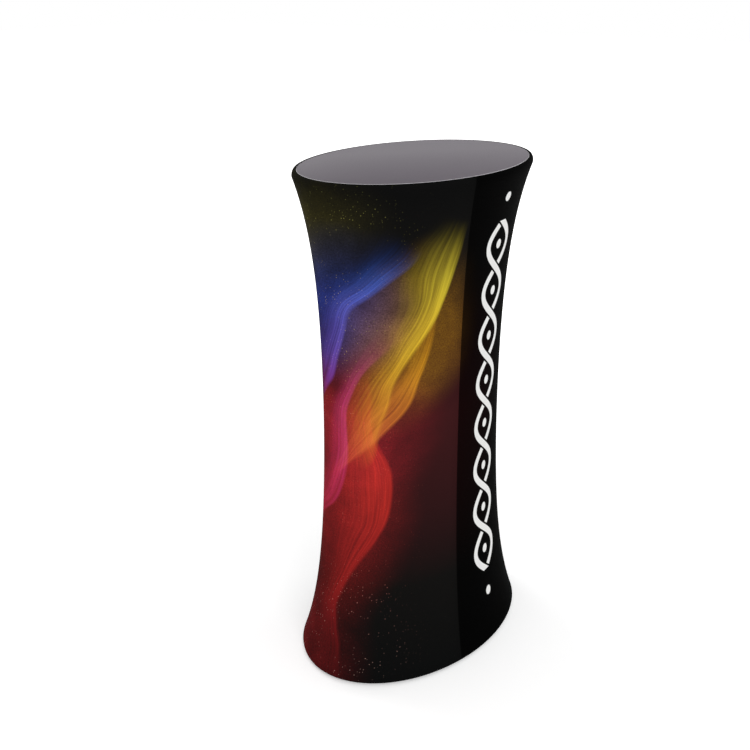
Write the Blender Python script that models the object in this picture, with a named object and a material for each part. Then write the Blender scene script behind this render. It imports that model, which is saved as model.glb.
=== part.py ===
# Oval exhibition counter: two oval boards on four plug-together tubes, a shelf half way up,
# a stretch fabric cover that waists in between the boards, and a loose tabletop.
# Metres, +Z up, +X along the oval, the front faces -Y, the floor is Z = 0.

import math

import bmesh
import bpy
from mathutils import Matrix, Vector

# Overall form, measured on the outside of the stretched fabric
height = 1.025
rim_half_length = 0.300
rim_half_depth = 0.2015
waist_length_drop = 0.054
waist_depth_drop = 0.054
flare_length = 0.166
clearance = 0.0003
cut_overrun = 0.002

# Tabletop
plate_thickness = 0.005
plate_edge = 0.001
plate_arris = 0.0004
plate_end_inset = 0.011
plate_side_inset = 0.008
plate_margin = 0.004
peg_radius = 0.004
peg_depth = 0.008
peg_end_inset = 0.169

# Fabric cover and its hook tape
fabric_thickness = 0.0012
shoulder_drop = 0.011
hem_width = 0.020
hem_lift = 0.0012
hook_band_thickness = 0.001
hook_band_inset = 0.001
hook_band_width = 0.016

# Boards
top_floor_thickness = 0.014
base_board_thickness = 0.017
base_board_heel = 0.0084
shelf_underside = 0.480
shelf_thickness = 0.012
shelf_side_gap = 0.004

# Uprights
upright_end_inset = 0.101
upright_side_inset = 0.0725
tube_radius = 0.0125
tube_wall = 0.0015
joint_height = 0.555
spigot_length = 0.120

# Sockets that hold the tube ends
socket_flange_radius = 0.030
socket_flange_thickness = 0.003
socket_cup_wall = 0.0035
socket_cup_length = 0.032

# Collars under the shelf
collar_wall = 0.005
collar_length = 0.014
collar_screw_radius = 0.0025
collar_screw_head_radius = 0.0050
collar_screw_head_length = 0.0045

# Snap buttons and their leaf springs
button_drop = 0.030
button_radius = 0.0037
button_flange_radius = 0.0050
button_flange_thickness = 0.0010
button_proud = 0.0025
button_edge_round = 0.0008
spring_width = 0.006
spring_thickness = 0.0005
spring_rise = 0.005
spring_leg = 0.018

# Rubber feet
foot_end_inset = 0.125
foot_side_inset = 0.1165
foot_radius = 0.018

# Zip down the middle of the back
zip_length = 0.540
zip_slot_width = 0.0104
zip_tape_width = 0.016
zip_tape_thickness = 0.0008
zip_tape_overlap = 0.006
zip_seam_gap = 0.0004
chain_width = 0.0052
chain_proud = 0.0008
stop_length = 0.003
slider_length = 0.016
slider_gap = 0.0005
slider_side_gap = 0.0005
slider_wall = 0.0012
slider_crown = 0.0015
slider_reach = 0.0014
bail_half_width = 0.0029
bail_wire_radius = 0.0008
bail_corner = 0.0012
bail_rise_share = 0.2
tab_knuckle_radius = 0.0021
tab_thickness = 0.0014
tab_width = 0.008
tab_length = 0.028
tab_neck = 0.0036

# Counts
oval_segments = 32
turn_segments = 20
shoulder_steps = 2
heel_steps = 2
bail_corner_steps = 3
bail_wire_resolution = 2
spring_bend_steps = 8
wall_level_shares = (0, 0.06, 0.14, 0.24, 0.34, 0.44, 0.56, 0.66, 0.76, 0.86, 0.94, 1)

quarter_turn = math.pi / 2
smooth_angle = math.radians(30)

# Heights and sizes that follow from the ones above
hem_stack = fabric_thickness + clearance + hook_band_thickness + clearance
heel_radius = base_board_heel + hem_stack
low_edge = hem_lift + heel_radius
high_edge = height - shoulder_drop
waist_height = (low_edge + high_edge) / 2
crest = height
roll_edge = height - plate_edge - clearance
plate_bevel = plate_thickness - plate_edge
top_hem_height = roll_edge - plate_bevel
top_floor = top_hem_height - hem_stack
top_floor_run = roll_edge - fabric_thickness - clearance - top_floor
top_underside = top_floor - top_floor_thickness
base_underside = hem_lift + hem_stack
base_top = base_underside + base_board_thickness
board_offset = fabric_thickness + clearance
shelf_top = shelf_underside + shelf_thickness
tube_bore = tube_radius - tube_wall
spigot_radius = tube_bore - clearance
spigot_bore = spigot_radius - tube_wall
button_height = joint_height - button_drop
peg_x = rim_half_length - plate_end_inset - peg_end_inset
upright_x = rim_half_length - waist_length_drop - upright_end_inset
upright_y = rim_half_depth - waist_depth_drop - upright_side_inset
foot_x = rim_half_length - foot_end_inset
foot_y = rim_half_depth - foot_side_inset


def remove_everything():
    for item in list(bpy.data.objects):
        bpy.data.objects.remove(item, do_unlink=True)


def make_material(name, colour, roughness, metallic=0.0):
    material = bpy.data.materials.new(name)
    material.use_nodes = True
    shader = material.node_tree.nodes["Principled BSDF"]
    shader.inputs["Base Color"].default_value = (*colour, 1.0)
    shader.inputs["Roughness"].default_value = roughness
    shader.inputs["Metallic"].default_value = metallic
    return material


def make_object(name, mesh_builder, material, location=(0, 0, 0), rotation=(0, 0, 0)):
    bmesh.ops.recalc_face_normals(mesh_builder, faces=mesh_builder.faces)
    mesh = bpy.data.meshes.new(name)
    mesh_builder.to_mesh(mesh)
    mesh_builder.free()
    mesh.shade_smooth()
    mesh.set_sharp_from_angle(angle=smooth_angle)
    mesh.materials.append(material)
    made = bpy.data.objects.new(name, mesh)
    made.location = location
    made.rotation_euler = rotation
    bpy.context.scene.collection.objects.link(made)
    return made


def loft(rings, closed=False):
    # Skins a row of rings that hold as many points each, capped at both ends or closed on itself
    builder = bmesh.new()
    rows = [[builder.verts.new(point) for point in ring] for ring in rings]
    pairs = list(zip(rows, rows[1:]))
    if closed:
        pairs.append((rows[-1], rows[0]))
    for low, high in pairs:
        for index in range(len(low)):
            after = (index + 1) % len(low)
            builder.faces.new((low[index], low[after], high[after], high[index]))
    if not closed:
        builder.faces.new(rows[0])
        builder.faces.new(rows[-1])
    return builder


def oval(half_length, half_depth, z):
    turns = [2 * math.pi * index / oval_segments for index in range(oval_segments)]
    return [(half_length * math.cos(t), half_depth * math.sin(t), z) for t in turns]


def circle(radius, z):
    turns = [2 * math.pi * index / turn_segments for index in range(turn_segments)]
    return [(radius * math.cos(t), radius * math.sin(t), z) for t in turns]


def turned(name, profile, material, location, rotation=(0, 0, 0), hollow=False):
    builder = loft([circle(radius, z) for radius, z in profile], closed=hollow)
    return make_object(name, builder, material, location, rotation)


def extruded(outline, axis, low, high):
    # Pushes a flat outline of two-value points along the X, Y or Z axis
    others = [index for index in range(3) if index != axis]
    rings = []
    for level in (low, high):
        ring = []
        for pair in outline:
            point = [0, 0, 0]
            point[axis] = level
            point[others[0]], point[others[1]] = pair
            ring.append(point)
        rings.append(ring)
    return loft(rings)


def rectangle(low_a, high_a, low_b, high_b):
    return [(low_a, low_b), (high_a, low_b), (high_a, high_b), (low_a, high_b)]


def cut(target, cutter, operation="DIFFERENCE"):
    cutter.hide_render = True
    cutter.display_type = "WIRE"
    modifier = target.modifiers.new(cutter.name, "BOOLEAN")
    modifier.operation = operation
    modifier.solver = "EXACT"
    modifier.object = cutter


def fabric_size(z):
    # Half length and half depth of the stretched fabric: a chain curve between the two boards
    half = (high_edge - low_edge) / 2
    at_end = math.cosh(half / flare_length)
    drawn_in = (at_end - math.cosh((z - waist_height) / flare_length)) / (at_end - 1)
    return (
        rim_half_length - waist_length_drop * drawn_in,
        rim_half_depth - waist_depth_drop * drawn_in,
    )


wall_levels = [base_top + (top_underside - base_top) * share for share in wall_level_shares]
facet_levels = [low_edge, *wall_levels, high_edge]


def heel_rings(radius, offset):
    # Round of the lower edge, from underneath out to its widest ring
    rings = []
    for step in range(heel_steps + 1):
        turn = quarter_turn * (1 - step / heel_steps)
        across = radius - radius * math.cos(turn) + offset
        rings.append(
            oval(rim_half_length - across, rim_half_depth - across, low_edge - radius * math.sin(turn))
        )
    return rings


def shoulder_rings(offset):
    # Round of the upper edge, from its widest ring over the crest and down to the tabletop's edge
    end_run, side_run = plate_end_inset - plate_margin, plate_side_inset - plate_margin
    rings = []
    for step in range(shoulder_steps + 1):
        turn = quarter_turn * step / shoulder_steps
        length = rim_half_length - end_run + (end_run - offset) * math.cos(turn)
        depth = rim_half_depth - side_run + (side_run - offset) * math.cos(turn)
        rings.append(oval(length, depth, high_edge + (crest - high_edge - offset) * math.sin(turn)))
    rings.append(seat_ring(0, roll_edge - offset))
    return rings


def seat_ring(inset, z):
    return oval(
        rim_half_length - plate_end_inset - inset, rim_half_depth - plate_side_inset - inset, z
    )


def under_ring(inset, z):
    return oval(
        rim_half_length - heel_radius - inset, rim_half_depth - heel_radius - inset, z
    )


def wall_rings(offset, levels):
    sizes = [(fabric_size(z), z) for z in levels]
    return [oval(length - offset, depth - offset, z) for (length, depth), z in sizes]


def cover_rings(offset):
    return [
        under_ring(hem_width, hem_lift + offset),
        *heel_rings(heel_radius - offset, offset),
        *wall_rings(offset, wall_levels),
        *shoulder_rings(offset),
        seat_ring(plate_bevel, top_hem_height - offset),
        seat_ring(plate_bevel + hem_width, top_hem_height - offset),
    ]


def make_cover(material):
    rings = cover_rings(0) + cover_rings(fabric_thickness)[::-1]
    cover = make_object("fabric_cover", loft(rings, closed=True), material)
    waist_depth = fabric_size(waist_height)[1]
    slot = extruded(
        rectangle(-zip_slot_width / 2, zip_slot_width / 2, waist_depth / 2, rim_half_depth),
        2,
        waist_height - zip_length / 2,
        waist_height + zip_length / 2,
    )
    cut(cover, make_object("zip_slot_cutter", slot, material))


def make_tabletop(material, peg_material):
    rings = [
        seat_ring(plate_bevel, height - plate_thickness),
        seat_ring(0, height - plate_edge),
        seat_ring(0, height - plate_arris),
        seat_ring(plate_arris, height),
    ]
    make_object("tabletop", loft(rings), material)
    for side, name in ((-1, "left"), (1, "right")):
        turned(
            f"tabletop_peg_{name}",
            [
                (peg_radius - plate_arris, top_floor - peg_depth),
                (peg_radius, top_floor - peg_depth + plate_arris),
                (peg_radius, height - plate_thickness - clearance),
            ],
            peg_material,
            (side * peg_x, 0, 0),
        )


def make_top_board(material):
    rings = [
        *wall_rings(board_offset, [top_underside]),
        *shoulder_rings(board_offset),
        seat_ring(top_floor_run, top_floor),
    ]
    board = make_object("top_board", loft(rings), material)
    hole = peg_radius + clearance
    for side, name in ((-1, "left"), (1, "right")):
        levels = (top_floor - peg_depth - clearance, top_floor + cut_overrun)
        cutter = turned(
            f"peg_hole_cutter_{name}", [(hole, z) for z in levels], material, (side * peg_x, 0, 0)
        )
        cut(board, cutter)


def make_base_board(material):
    rings = [
        *heel_rings(base_board_heel, board_offset),
        *wall_rings(board_offset, [base_top]),
    ]
    make_object("base_board", loft(rings), material)


def make_hook_band(name, ring_at, start, z, material):
    outer = start + hook_band_inset
    inner = outer + hook_band_width
    top = z + hook_band_thickness
    rings = [ring_at(outer, z), ring_at(outer, top), ring_at(inner, top), ring_at(inner, z)]
    make_object(name, loft(rings, closed=True), material)


def upright_places():
    places = {}
    for y, row in ((-upright_y, "front"), (upright_y, "rear")):
        for x, side in ((-upright_x, "left"), (upright_x, "right")):
            places[f"{row}_{side}"] = (x, y)
    return places


def make_shelf(material):
    length, depth = fabric_size(waist_height)
    inset = fabric_thickness + shelf_side_gap
    rings = [oval(length - inset, depth - inset, z) for z in (shelf_underside, shelf_top)]
    shelf = make_object("shelf", loft(rings), material)
    hole = tube_radius + clearance
    for name, (x, y) in upright_places().items():
        levels = (shelf_underside - cut_overrun, shelf_top + cut_overrun)
        cutter = turned(
            f"shelf_hole_cutter_{name}", [(hole, z) for z in levels], material, (x, y, 0)
        )
        cut(shelf, cutter)


def make_socket(name, place, face, up, material):
    # Cup on a flange: up is 1 on the base board and -1 under the top board
    bore = tube_radius + clearance
    cup = bore + socket_cup_wall
    floor = socket_flange_thickness
    profile = [
        (socket_flange_radius, 0),
        (socket_flange_radius, floor),
        (cup, floor),
        (cup, floor + socket_cup_length),
        (bore, floor + socket_cup_length),
        (bore, floor),
    ]
    turned(name, [(r, up * z) for r, z in profile], material, (*place, face + up * clearance))


def tube_profile(radius, bore, low, high):
    return [(radius, low), (radius, high), (bore, high), (bore, low)]


def make_upright(name, place, materials):
    foot = base_top + 2 * clearance + socket_flange_thickness
    head = top_underside - 2 * clearance - socket_flange_thickness
    half_gap = clearance / 2
    lower = turned(
        f"upright_lower_{name}",
        tube_profile(tube_radius, tube_bore, foot, joint_height - half_gap),
        materials["tube"],
        (*place, 0),
        hollow=True,
    )
    turned(
        f"upright_upper_{name}",
        tube_profile(tube_radius, tube_bore, joint_height + half_gap, head),
        materials["tube"],
        (*place, 0),
        hollow=True,
    )
    half = spigot_length / 2
    spigot = turned(
        f"spigot_{name}",
        tube_profile(spigot_radius, spigot_bore, joint_height - half, joint_height + half),
        materials["spigot"],
        (*place, 0),
        hollow=True,
    )
    hole = button_radius + clearance
    cutter = turned(
        f"button_hole_cutter_{name}",
        [(hole, 0), (hole, tube_radius + cut_overrun)],
        materials["spigot"],
        (*place, button_height),
        (-quarter_turn, 0, 0),
    )
    cut(lower, cutter)
    cut(spigot, cutter)


def button_seat():
    # Distance from the tube's axis to the flange's outer face, which lies on the spigot's wall
    return math.sqrt(spigot_bore**2 - button_flange_radius**2) - clearance


def make_snap_button(name, place, material):
    seat = button_seat()
    tip = tube_radius + button_proud
    profile = [
        (button_flange_radius, seat - button_flange_thickness),
        (button_flange_radius, seat),
        (button_radius, seat),
        (button_radius, tip - button_edge_round),
        (button_radius - button_edge_round, tip),
    ]
    turned(
        f"snap_button_{name}", profile, material, (*place, button_height), (-quarter_turn, 0, 0)
    )


def make_snap_spring(name, place, material):
    # Bent strip: one leg behind the button, a round bend below, one leg on the far wall
    front = button_seat() - button_flange_thickness - clearance
    back = clearance - math.sqrt(spigot_bore**2 - (spring_width / 2) ** 2)
    bend = -spring_leg
    outer_radius = (front - back) / 2
    centre = (front + back) / 2
    outer, inner = [], []
    for radius, line in ((outer_radius, outer), (outer_radius - spring_thickness, inner)):
        line.append((centre + radius, spring_rise))
        for step in range(spring_bend_steps + 1):
            turn = -math.pi * step / spring_bend_steps
            line.append((centre + radius * math.cos(turn), bend + radius * math.sin(turn)))
        line.append((centre - radius, spring_rise))
    builder = extruded(outer + inner[::-1], 0, -spring_width / 2, spring_width / 2)
    make_object(f"snap_spring_{name}", builder, material, (*place, button_height))


def make_collar(name, place, materials):
    bore = tube_radius + clearance
    outside = bore + collar_wall
    top = shelf_underside - clearance
    collar = turned(
        f"shelf_collar_{name}",
        tube_profile(outside, bore, top - collar_length, top),
        materials["collar"],
        (*place, 0),
        hollow=True,
    )
    middle = top - collar_length / 2
    hole = collar_screw_radius + clearance
    cutter = turned(
        f"collar_hole_cutter_{name}",
        [(hole, 0), (hole, outside + cut_overrun)],
        materials["collar"],
        (*place, middle),
        (-quarter_turn, 0, 0),
    )
    cut(collar, cutter)
    profile = [
        (collar_screw_radius, tube_radius + clearance),
        (collar_screw_radius, outside + clearance),
        (collar_screw_head_radius, outside + clearance),
        (collar_screw_head_radius, outside + clearance + collar_screw_head_length),
    ]
    turned(
        f"collar_screw_{name}", profile, materials["screw"], (*place, middle), (-quarter_turn, 0, 0)
    )


def make_feet(material):
    for y, row in ((-foot_y, "front"), (foot_y, "rear")):
        for x, side in ((-foot_x, "left"), (foot_x, "right")):
            profile = [(foot_radius, 0), (foot_radius, base_underside - clearance)]
            turned(f"foot_{row}_{side}", profile, material, (x, y, 0))


def facet_size(z):
    # Size of the fabric's flat facets, which the zip lies against
    for low, high in zip(facet_levels, facet_levels[1:]):
        if low <= z <= high:
            share = (z - low) / (high - low)
            low_size, high_size = fabric_size(low), fabric_size(high)
            return [a + (b - a) * share for a, b in zip(low_size, high_size)]
    raise ValueError("height outside the fabric's wall")


def back_face(x, z):
    length, depth = facet_size(z)
    facet = 2 * math.pi / oval_segments
    return depth - depth * (1 - math.cos(facet)) * abs(x) / (length * math.sin(facet))


def back_strip(name, side, near, far, outer_depth, inner_depth, low, high, material):
    # Strip up the back seam, from near to far beside it and between two depths under the face
    levels = [low, *[z for z in facet_levels if low < z < high], high]
    rings = []
    for z in levels:
        corners = ((near, outer_depth), (far, outer_depth), (far, inner_depth), (near, inner_depth))
        rings.append([(side * x, back_face(x, z) - depth, z) for x, depth in corners])
    make_object(name, loft(rings), material)


def make_zip(materials):
    low, high = waist_height - zip_length / 2, waist_height + zip_length / 2
    tape_outer = fabric_thickness + clearance
    near = zip_seam_gap / 2
    for side, name in ((-1, "left"), (1, "right")):
        back_strip(
            f"zip_tape_{name}", side, near, near + zip_tape_width, tape_outer,
            tape_outer + zip_tape_thickness, low - zip_tape_overlap, high + zip_tape_overlap,
            materials["tape"],
        )
        back_strip(
            f"zip_chain_{name}", side, near, chain_width / 2, -chain_proud, fabric_thickness,
            low + stop_length + 2 * clearance, high - stop_length - 2 * clearance,
            materials["chain"],
        )
    for bottom, name in ((low + clearance, "bottom"), (high - clearance - stop_length, "top")):
        rings = []
        for z in (bottom, bottom + stop_length):
            half = chain_width / 2
            face = back_face(half, z)
            outline = rectangle(-half, half, face - fabric_thickness, face + chain_proud)
            rings.append([(x, y, z) for x, y in outline])
        make_object(f"zip_{name}_stop", loft(rings), materials["chain"])


def slider_path():
    # The slider follows a wide arc up the waisted back: its half travel, radius and lean at the top
    half_travel = zip_length / 2 - stop_length - 2 * clearance - slider_length / 2
    rise = fabric_size(waist_height + half_travel)[1] - fabric_size(waist_height)[1]
    radius = (half_travel**2 + rise**2) / (2 * rise)
    return half_travel, radius, math.asin(half_travel / radius)


def joint_empty(name, location):
    empty = bpy.data.objects.new(name, None)
    empty.location = location
    bpy.context.scene.collection.objects.link(empty)
    return empty


def make_slider(materials):
    half_travel, radius, lean = slider_path()
    face = fabric_size(waist_height)[1] + chain_proud
    centre = Vector((0, face + radius, waist_height))
    start = centre + Vector((0, -radius * math.cos(lean), half_travel))
    placed = Matrix.Translation(start) @ Matrix.Rotation(-lean, 4, "X")
    half_chain = chain_width / 2 + slider_side_gap
    half_width = half_chain + slider_wall
    top = slider_gap + slider_crown
    outline = [
        (-half_width, -slider_reach),
        (-half_chain, -slider_reach),
        (-half_chain, slider_gap),
        (half_chain, slider_gap),
        (half_chain, -slider_reach),
        (half_width, -slider_reach),
        (half_width, top),
        (-half_width, top),
    ]
    channel = extruded(outline, 2, -slider_length / 2, slider_length / 2)
    slider = make_object("zip_slider", channel, materials["slider"])

    bar = top + clearance + tab_knuckle_radius
    bail_z = slider_length * bail_rise_share
    left = [(-bail_half_width, top + clearance)]
    for step in range(bail_corner_steps + 1):
        turn = quarter_turn * step / bail_corner_steps
        across = bail_half_width - bail_corner + bail_corner * math.cos(turn)
        left.append((-across, bar - bail_corner + bail_corner * math.sin(turn)))
    points = left + [(-x, y) for x, y in reversed(left)]
    curve = bpy.data.curves.new("zip_bail", "CURVE")
    curve.dimensions = "3D"
    curve.bevel_depth = bail_wire_radius
    curve.bevel_resolution = bail_wire_resolution
    curve.use_fill_caps = True
    spline = curve.splines.new("POLY")
    spline.points.add(len(points) - 1)
    for place, (x, y) in zip(spline.points, points):
        place.co = (x, y, bail_z, 1)
    curve.materials.append(materials["slider"])
    bail = bpy.data.objects.new("zip_bail", curve)
    bpy.context.scene.collection.objects.link(bail)

    hub = placed @ Vector((0, bar, bail_z))
    eye = bail_wire_radius + clearance
    knuckle_half = bail_half_width - bail_wire_radius - clearance
    tab = make_object(
        "zip_pull_tab",
        extruded(
            rectangle(-tab_thickness / 2, tab_thickness / 2, -tab_length, -tab_neck),
            0,
            -tab_width / 2,
            tab_width / 2,
        ),
        materials["slider"],
        hub,
    )
    turned_x = (0, quarter_turn, 0)
    neck = make_object(
        "tab_neck_shape",
        extruded(
            rectangle(-tab_thickness / 2, tab_thickness / 2, -tab_neck - tab_thickness, -eye),
            0,
            -knuckle_half,
            knuckle_half,
        ),
        materials["slider"],
        hub,
    )
    ends = (-knuckle_half, knuckle_half)
    knuckle = turned(
        "tab_knuckle_shape", [(tab_knuckle_radius, z) for z in ends], materials["slider"], hub, turned_x
    )
    reach = (-knuckle_half - cut_overrun, knuckle_half + cut_overrun)
    eye_cutter = turned(
        "tab_eye_cutter", [(eye, z) for z in reach], materials["slider"], hub, turned_x
    )
    cut(tab, neck, "UNION")
    cut(tab, knuckle, "UNION")
    cut(tab, eye_cutter)

    arc_centre = joint_empty("zip_arc_axis", centre)
    for piece in (slider, bail):
        piece.matrix_world = placed
        piece.parent = arc_centre
        piece.matrix_parent_inverse = Matrix.Translation(centre).inverted()
    print("slider axis", tuple(centre), "range", math.degrees(2 * lean))
    print("tab axis", tuple(hub))


def main():
    remove_everything()
    materials = {
        "plate": make_material("dark_grey_laminate", (0.16, 0.15, 0.16), 0.45),
        "peg": make_material("beech_dowel", (0.55, 0.36, 0.19), 0.6),
        "fabric": make_material("printed_stretch_fabric", (0.06, 0.012, 0.014), 0.9),
        "hook": make_material("hook_tape", (0.02, 0.02, 0.02), 0.95),
        "board": make_material("black_melamine_board", (0.035, 0.035, 0.037), 0.55),
        "shelf": make_material("grey_melamine_shelf", (0.20, 0.20, 0.21), 0.5),
        "tube": make_material("anodised_aluminium", (0.60, 0.61, 0.63), 0.32, 1.0),
        "spigot": make_material("mill_aluminium", (0.70, 0.71, 0.72), 0.4, 1.0),
        "socket": make_material("black_nylon", (0.03, 0.03, 0.032), 0.5),
        "collar": make_material("black_nylon_collar", (0.035, 0.035, 0.037), 0.5),
        "screw": make_material("zinc_plated_steel", (0.62, 0.62, 0.60), 0.35, 1.0),
        "button": make_material("plated_button", (0.66, 0.66, 0.65), 0.3, 1.0),
        "spring": make_material("spring_steel", (0.42, 0.43, 0.46), 0.35, 1.0),
        "foot": make_material("black_rubber", (0.02, 0.02, 0.02), 0.9),
        "tape": make_material("zip_tape_weave", (0.02, 0.02, 0.022), 0.9),
        "chain": make_material("black_zip_teeth", (0.03, 0.03, 0.03), 0.4),
        "slider": make_material("gunmetal_slider", (0.20, 0.20, 0.21), 0.35, 1.0),
    }
    make_cover(materials["fabric"])
    make_tabletop(materials["plate"], materials["peg"])
    make_top_board(materials["board"])
    make_base_board(materials["board"])
    make_shelf(materials["shelf"])
    hook = materials["hook"]
    make_hook_band("top_hook_band", seat_ring, top_floor_run, top_floor + clearance, hook)
    make_hook_band("base_hook_band", under_ring, 0, hem_lift + board_offset, hook)
    for name, place in upright_places().items():
        make_socket(f"base_socket_{name}", place, base_top, 1, materials["socket"])
        make_socket(f"top_socket_{name}", place, top_underside, -1, materials["socket"])
        make_upright(name, place, materials)
        make_snap_button(name, place, materials["button"])
        make_snap_spring(name, place, materials["spring"])
        make_collar(name, place, materials)
    make_feet(materials["foot"])
    make_zip(materials)
    make_slider(materials)


main()
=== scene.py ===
from functools import partial
import math

import bmesh
import bpy
from mathutils import Matrix, Vector


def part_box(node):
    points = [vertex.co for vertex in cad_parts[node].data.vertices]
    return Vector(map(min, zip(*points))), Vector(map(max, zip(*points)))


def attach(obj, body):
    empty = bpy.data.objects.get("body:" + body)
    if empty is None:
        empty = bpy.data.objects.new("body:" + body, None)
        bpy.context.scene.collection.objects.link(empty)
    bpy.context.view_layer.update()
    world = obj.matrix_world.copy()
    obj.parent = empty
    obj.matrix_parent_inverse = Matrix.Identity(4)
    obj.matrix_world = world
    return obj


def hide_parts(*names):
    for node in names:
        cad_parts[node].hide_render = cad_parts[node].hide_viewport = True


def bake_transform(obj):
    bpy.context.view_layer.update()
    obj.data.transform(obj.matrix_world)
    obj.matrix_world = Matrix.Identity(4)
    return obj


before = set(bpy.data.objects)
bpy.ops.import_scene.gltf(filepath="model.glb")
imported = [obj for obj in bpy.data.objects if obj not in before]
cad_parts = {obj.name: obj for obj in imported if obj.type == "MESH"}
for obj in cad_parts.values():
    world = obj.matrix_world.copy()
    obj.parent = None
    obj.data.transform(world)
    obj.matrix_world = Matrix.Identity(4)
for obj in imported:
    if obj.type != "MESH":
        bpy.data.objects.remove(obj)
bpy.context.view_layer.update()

quarterTurn = math.pi / 2
hair = 1e-6  # closer than this counts as the same place
print("frame loaded")


# Small helpers
def toLinear(hexColour):
    # an sRGB hex value as the linear colour that sockets take
    channels = [int(hexColour[i:i + 2], 16) / 255 for i in (1, 3, 5)]
    return (*(c / 12.92 if c <= 0.04045 else ((c + 0.055) / 1.055) ** 2.4 for c in channels), 1)


def deselectAll():
    if bpy.context.mode != "OBJECT":
        bpy.ops.object.mode_set(mode="OBJECT")
    bpy.ops.object.select_all(action="DESELECT")


def activate(piece):
    deselectAll()
    piece.select_set(True)
    bpy.context.view_layer.objects.active = piece


def bakePlace(piece, place=None):
    # the place goes into the mesh, so that the object sits at the origin
    if place is not None:
        piece.matrix_world = place
    activate(piece)
    bpy.ops.object.transform_apply()
    return piece


def pick(piece, kind, test):
    # stays in edit mode with only those faces, edges or vertices selected that pass the test
    activate(piece)
    bpy.ops.object.mode_set(mode="EDIT")
    bpy.ops.mesh.select_mode(type=kind)
    bpy.ops.mesh.select_all(action="DESELECT")
    shape = bmesh.from_edit_mesh(piece.data)
    for part in {"FACE": shape.faces, "EDGE": shape.edges, "VERT": shape.verts}[kind]:
        if test(part):
            part.select_set(True)
    bmesh.update_edit_mesh(piece.data)


def facing(*direction, least=0.9):
    return lambda face: face.normal.dot(Vector(direction)) > least


def rimAt(level, axis=2):
    # edges at that level along the axis, where the surface turns a corner
    def test(edge):
        flat = all(abs(vert.co[axis] - level) < hair for vert in edge.verts)
        return flat and edge.calc_face_angle(0) > 0.5
    return test


def running(axis, least):
    # edges that run at least so far along the axis
    return lambda edge: abs(edge.verts[0].co[axis] - edge.verts[1].co[axis]) > least


def everyNth(count, sides, across):
    # every so many side faces of a cylinder, by their angle in the plane of the two axes across
    def test(face):
        along, beside = (face.normal[axis] for axis in across)
        turn = math.floor(math.atan2(beside, along) / (2 * math.pi / sides))
        return math.hypot(along, beside) > 0.9 and turn % count == 0
    return test


def extrude(*move):
    bpy.ops.mesh.extrude_region_move(TRANSFORM_OT_translate={"value": move})


def insetFaces(piece, test, *steps, **settings):
    # draws the faces in by one (inset, depth) after another; stays in edit mode
    pick(piece, "FACE", test)
    for inset, depth in steps:
        bpy.ops.mesh.inset(thickness=inset, depth=depth, **settings)


def bevelEdges(piece, test, offset, segments):
    pick(piece, "EDGE", test)
    bpy.ops.mesh.bevel(offset=offset, segments=segments)
    deselectAll()


def faceOutwards():
    bpy.ops.mesh.select_all(action="SELECT")
    bpy.ops.mesh.normals_make_consistent(inside=False)


def applyModifier(piece, kind, **settings):
    activate(piece)
    modifier = piece.modifiers.new("shaping", kind)
    for name, value in settings.items():
        setattr(modifier, name, value)
    bpy.ops.object.modifier_apply(modifier=modifier.name)


def drill(piece, cutter, operation="DIFFERENCE"):
    # cuts the cutter's shape out of the piece and removes it
    applyModifier(piece, "BOOLEAN", operation=operation, solver="EXACT", object=cutter)
    bpy.data.objects.remove(cutter)


weld = partial(drill, operation="UNION")  # joins the part to the piece as one closed body


def addBox(size, at=(0, 0, 0), turn=0):
    deselectAll()
    bpy.ops.mesh.primitive_cube_add(size=1, location=at, rotation=(0, 0, turn), scale=size)
    return bakePlace(bpy.context.object)


def addCylinder(radius, low, high, sides, axis=2, at=(0, 0, 0)):
    # runs from low to high along the axis through that point
    deselectAll()
    place = Vector(at)
    place[axis] += (low + high) / 2
    bpy.ops.mesh.primitive_cylinder_add(
        vertices=sides, radius=radius, depth=high - low, location=place,
        rotation=((0, quarterTurn, 0), (quarterTurn, 0, 0), (0, 0, 0))[axis],
    )
    return bakePlace(bpy.context.object)


def addOval(rows, sides=192):
    # an oval face drawn up and resized from row to row of (half length, half depth, height)
    length, depth, z = rows[0]
    deselectAll()
    bpy.ops.mesh.primitive_circle_add(vertices=sides, fill_type="NGON", location=(0, 0, z))
    piece = bpy.context.object
    piece.scale = (length, depth, 1)
    bakePlace(piece)
    pick(piece, "FACE", lambda face: True)
    for wide, deep, up in rows[1:]:
        extrude(0, 0, up - z)
        bpy.ops.transform.resize(value=(wide / length, deep / depth, 1), center_override=(0, 0, up))
        length, depth, z = wide, deep, up
    faceOutwards()
    deselectAll()
    return piece


def asPiece(shape, name):
    mesh = bpy.data.meshes.new(name)
    shape.to_mesh(mesh)
    shape.free()
    return bpy.data.objects.new(name, mesh)


def copiesOf(master, places):
    # one mesh that holds a copy of the master's shape at each place
    shape = bmesh.new()
    for place in places:
        start = len(shape.verts)
        shape.from_mesh(master.data)
        shape.verts.ensure_lookup_table()
        bmesh.ops.transform(shape, matrix=place, verts=shape.verts[start:])
    return asPiece(shape, master.name)


def finishPiece(piece, name, body, finish, replaced=(), smooth=30):
    # finish names one finish or more; a piece with no body is blended between two afterwards
    if piece.name not in bpy.context.scene.collection.all_objects:
        bpy.context.scene.collection.objects.link(piece)
    bakePlace(piece)
    piece.name = piece.data.name = name
    for one in finish.split():
        piece.data.materials.append(materials[one])
    bpy.ops.object.shade_smooth_by_angle(angle=math.radians(smooth))
    if body:
        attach(piece, body)
    if replaced:
        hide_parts(*replaced)
    return piece


def feed(made, inputs):
    # an input is a value or another node's output
    for name, value in inputs.items():
        if isinstance(value, bpy.types.NodeSocket):
            made.id_data.links.new(value, made.inputs[name])
        else:
            made.inputs[name].default_value = value


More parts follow.
